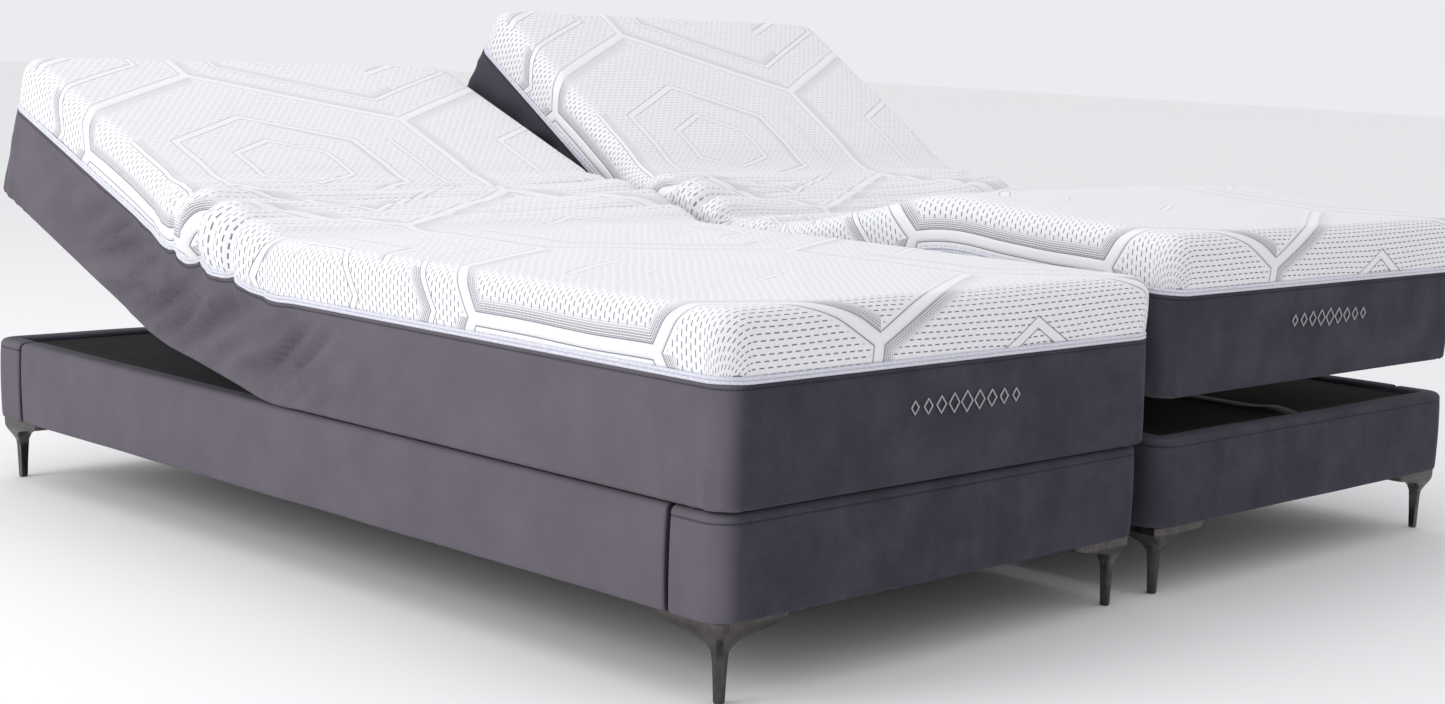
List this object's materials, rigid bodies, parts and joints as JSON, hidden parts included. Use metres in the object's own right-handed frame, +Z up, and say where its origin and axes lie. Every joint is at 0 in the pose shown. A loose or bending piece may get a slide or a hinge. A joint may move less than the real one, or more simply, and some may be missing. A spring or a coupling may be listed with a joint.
{
  "type": "adjustable bed base",
  "caption": "Split adjustable bed: upholstered bases on cast legs, with bending electric mattresses whose backs and legs lift on hinged steel sections, links and linear actuators.",
  "frame": {"origin": "on the floor, at the middle of the box round the whole bed as it stands", "axes": "+Y from the foot end to the head end, +X to the right seen from the foot end, +Z up"},
  "size_m": [1.874, 2.0123, 0.9126],
  "materials": {
    "velvet": "matte",
    "knit": "matte",
    "deck_cloth": "matte",
    "leg_metal": "satin",
    "frame_steel": "satin",
    "motor_plastic": "matte",
    "rod_steel": "brushed"
  },
  "bodies": {
    "root": {"joining_plate": "frame_steel", "control_box": "motor_plastic", "left_foot_panel": "velvet", "left_head_panel": "velvet", "left_rail_r": "velvet", "left_rail_l": "velvet", "left_deck": "deck_cloth", "left_leg_foot_l": "leg_metal", "left_leg_foot_r": "leg_metal", "left_leg_head_r": "leg_metal", "left_leg_head_l": "leg_metal", "left_seat_cushion": "knit", "left_seat_frame": "frame_steel", "right_foot_panel": "velvet", "right_head_panel": "velvet", "right_rail_r": "velvet", "right_rail_l": "velvet", "right_deck": "deck_cloth", "right_leg_foot_l": "leg_metal", "right_leg_foot_r": "leg_metal", "right_leg_head_r": "leg_metal", "right_leg_head_l": "leg_metal", "right_seat_cushion": "knit", "right_seat_frame": "frame_steel"},
    "left_lumbar": {"left_lumbar_casing": "velvet", "left_lumbar_pad": "knit", "left_lumbar_frame": "frame_steel"},
    "left_back": {"left_back_casing": "velvet", "left_back_pad": "knit", "left_back_frame": "frame_steel"},
    "left_thigh": {"left_thigh_casing": "velvet", "left_thigh_pad": "knit", "left_thigh_frame": "frame_steel"},
    "left_calf": {"left_calf_casing": "velvet", "left_calf_pad": "knit", "left_calf_frame": "frame_steel"},
    "left_head_actuator": {"left_head_actuator_body": "motor_plastic"},
    "left_head_rod": {"left_head_actuator_rod": "rod_steel"},
    "left_foot_actuator": {"left_foot_actuator_body": "motor_plastic"},
    "left_foot_rod": {"left_foot_actuator_rod": "rod_steel"},
    "left_back_link": {"left_back_link": "frame_steel"},
    "left_knee_link": {"left_knee_link": "frame_steel"},
    "right_lumbar": {"right_lumbar_casing": "velvet", "right_lumbar_pad": "knit", "right_lumbar_frame": "frame_steel"},
    "right_back": {"right_back_casing": "velvet", "right_back_pad": "knit", "right_back_frame": "frame_steel"},
    "right_thigh": {"right_thigh_casing": "velvet", "right_thigh_pad": "knit", "right_thigh_frame": "frame_steel"},
    "right_calf": {"right_calf_casing": "velvet", "right_calf_pad": "knit", "right_calf_frame": "frame_steel"},
    "right_head_actuator": {"right_head_actuator_body": "motor_plastic"},
    "right_head_rod": {"right_head_actuator_rod": "rod_steel"},
    "right_foot_actuator": {"right_foot_actuator_body": "motor_plastic"},
    "right_foot_rod": {"right_foot_actuator_rod": "rod_steel"},
    "right_back_link": {"right_back_link": "frame_steel"},
    "right_knee_link": {"right_knee_link": "frame_steel"}
  },
  "joints": [
    {"name": "left_lumbar_hinge", "type": "hinge", "parent": "root", "child": "left_lumbar", "pos_m": [-0.475, 0.066, 0.3], "axis": [1, 0, 0], "range_deg": [-10.5, 19.5]},
    {"name": "left_back_hinge", "type": "hinge", "parent": "left_lumbar", "child": "left_back", "pos_m": [-0.475, 0.40031, 0.36196], "axis": [1, 0, 0], "range_deg": [-10.5, 19.5]},
    {"name": "left_thigh_hinge", "type": "hinge", "parent": "root", "child": "left_thigh", "pos_m": [-0.475, -0.114, 0.3], "axis": [-1, 0, 0], "range_deg": [0, 30]},
    {"name": "left_knee_hinge", "type": "hinge", "parent": "left_thigh", "child": "left_calf", "pos_m": [-0.475, -0.514, 0.3], "axis": [1, 0, 0], "range_deg": [0, 37.2]},
    {"name": "left_head_actuator_pivot", "type": "hinge", "parent": "left_lumbar", "child": "left_head_actuator", "pos_m": [-0.475, 0.33894, 0.39127], "axis": [1, 0, 0], "range_deg": [-0.69, 0.38]},
    {"name": "left_head_rod_slide", "type": "slide", "parent": "left_head_actuator", "child": "left_head_rod", "axis": [0, -0.9993, -0.0384], "range_m": [-0.02764, 0.01493]},
    {"name": "left_foot_actuator_pivot", "type": "hinge", "parent": "left_thigh", "child": "left_foot_actuator", "pos_m": [-0.475, -0.439, 0.34], "axis": [1, 0, 0], "range_deg": [-0.01, 1.11]},
    {"name": "left_foot_rod_slide", "type": "slide", "parent": "left_foot_actuator", "child": "left_foot_rod", "axis": [0, 0.9933, 0.1152], "range_m": [-0.04231, 0.0001]},
    {"name": "left_back_link_pivot", "type": "hinge", "parent": "root", "child": "left_back_link", "pos_m": [-0.475, 0.066, 0.28], "axis": [1, 0, 0], "range_deg": [-10.2, 18.93]},
    {"name": "left_knee_link_pivot", "type": "hinge", "parent": "root", "child": "left_knee_link", "pos_m": [-0.475, -0.114, 0.35], "axis": [1, 0, 0], "range_deg": [-29.82, 0.01]},
    {"name": "right_lumbar_hinge", "type": "hinge", "parent": "root", "child": "right_lumbar", "pos_m": [0.475, 0.066, 0.3], "axis": [1, 0, 0], "range_deg": [-16.5, 13.5]},
    {"name": "right_back_hinge", "type": "hinge", "parent": "right_lumbar", "child": "right_back", "pos_m": [0.475, 0.392, 0.39657], "axis": [1, 0, 0], "range_deg": [-16.5, 13.5]},
    {"name": "right_thigh_hinge", "type": "hinge", "parent": "root", "child": "right_thigh", "pos_m": [0.475, -0.114, 0.3], "axis": [-1, 0, 0], "range_deg": [-12.5, 17.5]},
    {"name": "right_knee_hinge", "type": "hinge", "parent": "right_thigh", "child": "right_calf", "pos_m": [0.475, -0.50452, 0.38658], "axis": [1, 0, 0], "range_deg": [-15.5, 21.7]},
    {"name": "right_head_actuator_pivot", "type": "hinge", "parent": "right_lumbar", "child": "right_head_actuator", "pos_m": [0.475, 0.3279, 0.4193], "axis": [1, 0, 0], "range_deg": [-0.48, 0.58]},
    {"name": "right_head_rod_slide", "type": "slide", "parent": "right_head_actuator", "child": "right_head_rod", "axis": [0, -0.9904, -0.1381], "range_m": [-0.01917, 0.0234]},
    {"name": "right_foot_actuator_pivot", "type": "hinge", "parent": "right_thigh", "child": "right_foot_actuator", "pos_m": [0.475, -0.42264, 0.4094], "axis": [1, 0, 0], "range_deg": [-0.33908, 0.47071]},
    {"name": "right_foot_rod_slide", "type": "slide", "parent": "right_foot_actuator", "child": "right_foot_rod", "axis": [0, 0.996, -0.0891], "range_m": [-0.02486, 0.01779]},
    {"name": "right_back_link_pivot", "type": "hinge", "parent": "root", "child": "right_back_link", "pos_m": [0.475, 0.066, 0.28], "axis": [1, 0, 0], "range_deg": [-16.02, 13.11]},
    {"name": "right_knee_link_pivot", "type": "hinge", "parent": "root", "child": "right_knee_link", "pos_m": [0.475, -0.114, 0.35], "axis": [1, 0, 0], "range_deg": [-17.38, 12.42]}
  ],
  "couplings": [
    {"joint": "left_back_hinge", "follows": "left_lumbar_hinge", "ratio": 1},
    {"joint": "left_knee_hinge", "follows": "left_thigh_hinge", "ratio": 1.24},
    {"joint": "left_head_actuator_pivot", "follows": "left_lumbar_hinge", "ratio": -0.034837},
    {"joint": "left_head_rod_slide", "follows": "left_lumbar_hinge", "m_per_rad": -0.080914},
    {"joint": "left_foot_actuator_pivot", "follows": "left_thigh_hinge", "ratio": 0.036821},
    {"joint": "left_foot_rod_slide", "follows": "left_thigh_hinge", "m_per_rad": -0.080613},
    {"joint": "left_back_link_pivot", "follows": "left_lumbar_hinge", "ratio": 0.97026},
    {"joint": "left_knee_link_pivot", "follows": "left_thigh_hinge", "ratio": -0.99377},
    {"joint": "right_back_hinge", "follows": "right_lumbar_hinge", "ratio": 1},
    {"joint": "right_knee_hinge", "follows": "right_thigh_hinge", "ratio": 1.24},
    {"joint": "right_head_actuator_pivot", "follows": "right_lumbar_hinge", "ratio": -0.034837},
    {"joint": "right_head_rod_slide", "follows": "right_lumbar_hinge", "m_per_rad": -0.080914},
    {"joint": "right_foot_actuator_pivot", "follows": "right_thigh_hinge", "ratio": 0.026326},
    {"joint": "right_foot_rod_slide", "follows": "right_thigh_hinge", "m_per_rad": -0.081072},
    {"joint": "right_back_link_pivot", "follows": "right_lumbar_hinge", "ratio": 0.97026},
    {"joint": "right_knee_link_pivot", "follows": "right_thigh_hinge", "ratio": -0.99273}
  ]
}
